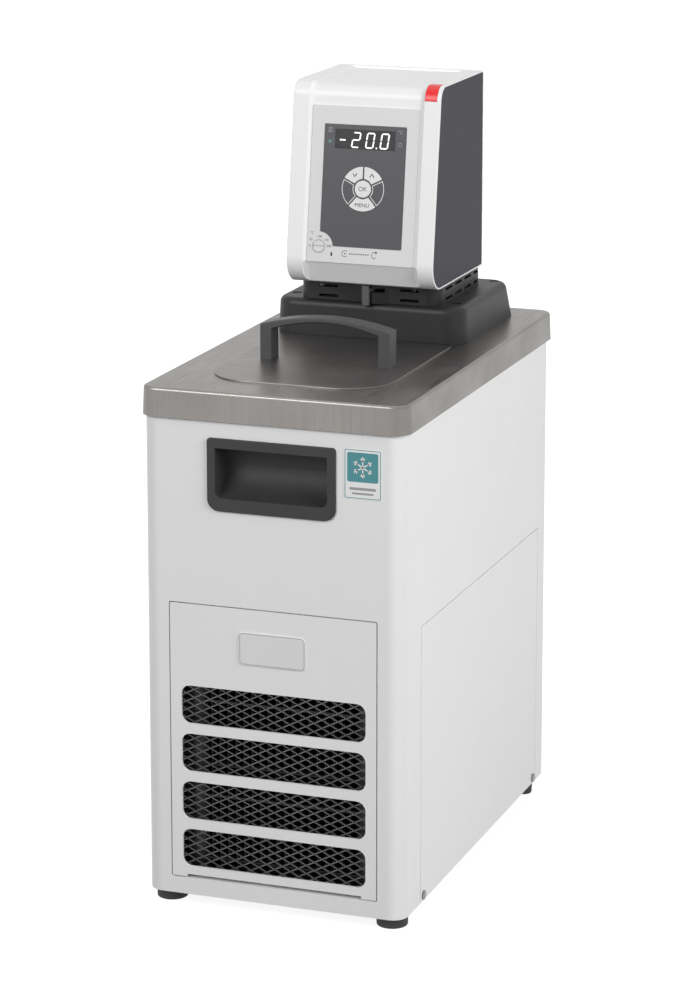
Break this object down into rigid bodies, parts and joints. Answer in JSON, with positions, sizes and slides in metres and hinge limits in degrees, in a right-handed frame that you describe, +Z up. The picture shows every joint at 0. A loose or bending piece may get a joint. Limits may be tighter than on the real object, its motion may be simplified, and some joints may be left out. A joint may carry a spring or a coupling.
{
  "type": "refrigerated circulator",
  "caption": "Bench-top refrigerated circulator: slim cooling cabinet with vent grille and handle cups, steel deck with lidded bath, and a control head on a black plinth.",
  "frame": {"origin": "on the floor under the centre of the steel deck", "axes": "+Z up; the vent grille and display face -Y; +X to the right seen from the front"},
  "size_m": [0.23, 0.41, 0.66],
  "materials": {
    "cabinet_paint": "satin powder coat",
    "deck_steel": "brushed stainless",
    "stainless": "drawn stainless",
    "zinc_steel": "zinc plated",
    "zinc_black": "black oxide",
    "grey_plastic": "fine grain",
    "black_plastic": "fine grain",
    "plinth_black": "fine grain, soft sheen",
    "head_plastic": "satin moulded",
    "cover_dark": "fine grain",
    "overlay_film": "printed film",
    "panel_dark": "printed film",
    "display_lens": "tinted lens",
    "key_film": "printed film",
    "dial_grey": "moulded",
    "button_red": "moulded",
    "lever_grey": "moulded",
    "badge_grey": "bare plate",
    "label_white": "film",
    "mesh_aluminium": "expanded metal",
    "aluminium": "mill finish",
    "copper": "drawn copper",
    "brass": "turned",
    "black_paint": "black enamel",
    "board_green": "circuit board",
    "silicone_hose": "hose",
    "rubber": "moulded rubber",
    "float_white": "moulded",
    "pump_plastic": "moulded",
    "foam": "rigid foam"
  },
  "bodies": {
    "cabinet": {"base_pan": "zinc_steel", "bath_lid": "stainless", "bath_tank": "stainless", "cabinet_screws": "zinc_steel", "cabinet_shell": "cabinet_paint", "carry_handle_front": "grey_plastic", "carry_handle_rear": "grey_plastic", "compressor": "black_paint", "compressor_mounts": "rubber", "compressor_terminal_cover": "black_plastic", "condenser": "aluminium", "control_board": "board_green", "discharge_line": "copper", "display_panel": "panel_dark", "drain_pipe": "silicone_hose", "drain_tap_body": "brass", "evaporator_coil": "stainless", "fan_motor": "black_paint", "fan_shroud": "zinc_steel", "feet": "rubber", "filter_dryer": "copper", "front_label": "label_white", "front_overlay": "overlay_film", "head_base": "black_plastic", "head_housing": "head_plastic", "heater_coil": "stainless", "led_display": "display_lens", "level_sensor": "stainless", "lid_handle": "black_plastic", "lid_handle_screws": "zinc_steel", "mains_inlet": "black_plastic", "plinth": "plinth_black", "plinth_screws": "zinc_black", "pump_housing": "pump_plastic", "pump_motor": "black_paint", "pump_ports": "stainless", "rear_cover": "cover_dark", "rear_panel": "cabinet_paint", "side_cover_left": "cover_dark", "side_cover_right": "cover_dark", "side_panel_left": "cabinet_paint", "side_panel_right": "cabinet_paint", "suction_line": "copper", "tank_insulation": "foam", "temperature_probe": "stainless", "top_deck": "deck_steel"},
    "grille": {"vent_grille": "cabinet_paint", "grille_mesh": "mesh_aluminium", "grille_badge": "badge_grey"},
    "key_down": {"key_down": "key_film"},
    "key_up": {"key_up": "key_film"},
    "key_ok": {"key_ok": "key_film"},
    "key_menu": {"key_menu": "key_film"},
    "power_button": {"power_button": "button_red"},
    "cutoff_dial": {"cutoff_dial": "dial_grey"},
    "pump_lever": {"pump_lever": "lever_grey"},
    "tap_knob": {"drain_tap_knob": "black_plastic"},
    "fan": {"fan_rotor": "black_plastic"},
    "pump_rotor": {"pump_rotor": "stainless"},
    "level_float": {"level_float": "float_white"}
  },
  "joints": [
    {"name": "grille_pull", "type": "slide", "parent": "cabinet", "child": "grille", "axis": [0, -1, 0], "range_m": [0, 0.012]},
    {"name": "key_down_press", "type": "slide", "parent": "cabinet", "child": "key_down", "axis": [0, 0.9902, -0.1397], "range_m": [0, 0.0006], "stiffness_N_per_m": 600, "springref_m": -0.0005},
    {"name": "key_up_press", "type": "slide", "parent": "cabinet", "child": "key_up", "axis": [0, 0.9902, -0.1397], "range_m": [0, 0.0006], "stiffness_N_per_m": 600, "springref_m": -0.0005},
    {"name": "key_ok_press", "type": "slide", "parent": "cabinet", "child": "key_ok", "axis": [0, 0.9902, -0.1397], "range_m": [0, 0.0006], "stiffness_N_per_m": 600, "springref_m": -0.0005},
    {"name": "key_menu_press", "type": "slide", "parent": "cabinet", "child": "key_menu", "axis": [0, 0.9902, -0.1397], "range_m": [0, 0.0006], "stiffness_N_per_m": 600, "springref_m": -0.0005},
    {"name": "power_press", "type": "slide", "parent": "cabinet", "child": "power_button", "axis": [0, 0.5657, -0.8246], "range_m": [0, 0.0015], "stiffness_N_per_m": 500, "springref_m": -0.002},
    {"name": "dial_turn", "type": "hinge", "parent": "cabinet", "child": "cutoff_dial", "pos_m": [-0.0374, 0.00961, 0.52146], "axis": [0, -0.9902, 0.1397], "range_deg": [-180, 0]},
    {"name": "lever_swing", "type": "hinge", "parent": "cabinet", "child": "pump_lever", "pos_m": [0.005, 0.048, 0.481], "axis": [0, 0, 1], "range_deg": [-8, 31]},
    {"name": "tap_turn", "type": "hinge", "parent": "cabinet", "child": "tap_knob", "pos_m": [0.07, 0.198, 0.075], "axis": [0, 0, 1], "range_deg": [0, 90]},
    {"name": "fan_spin", "type": "hinge", "parent": "cabinet", "child": "fan", "pos_m": [0, -0.15, 0.11864], "axis": [0, 1, 0], "continuous": true},
    {"name": "pump_spin", "type": "hinge", "parent": "cabinet", "child": "pump_rotor", "pos_m": [0, 0.082, 0.4], "axis": [0, 0, 1], "continuous": true},
    {"name": "float_rise", "type": "slide", "parent": "cabinet", "child": "level_float", "axis": [0, 0, 1], "range_m": [0, 0.01]}
  ]
}
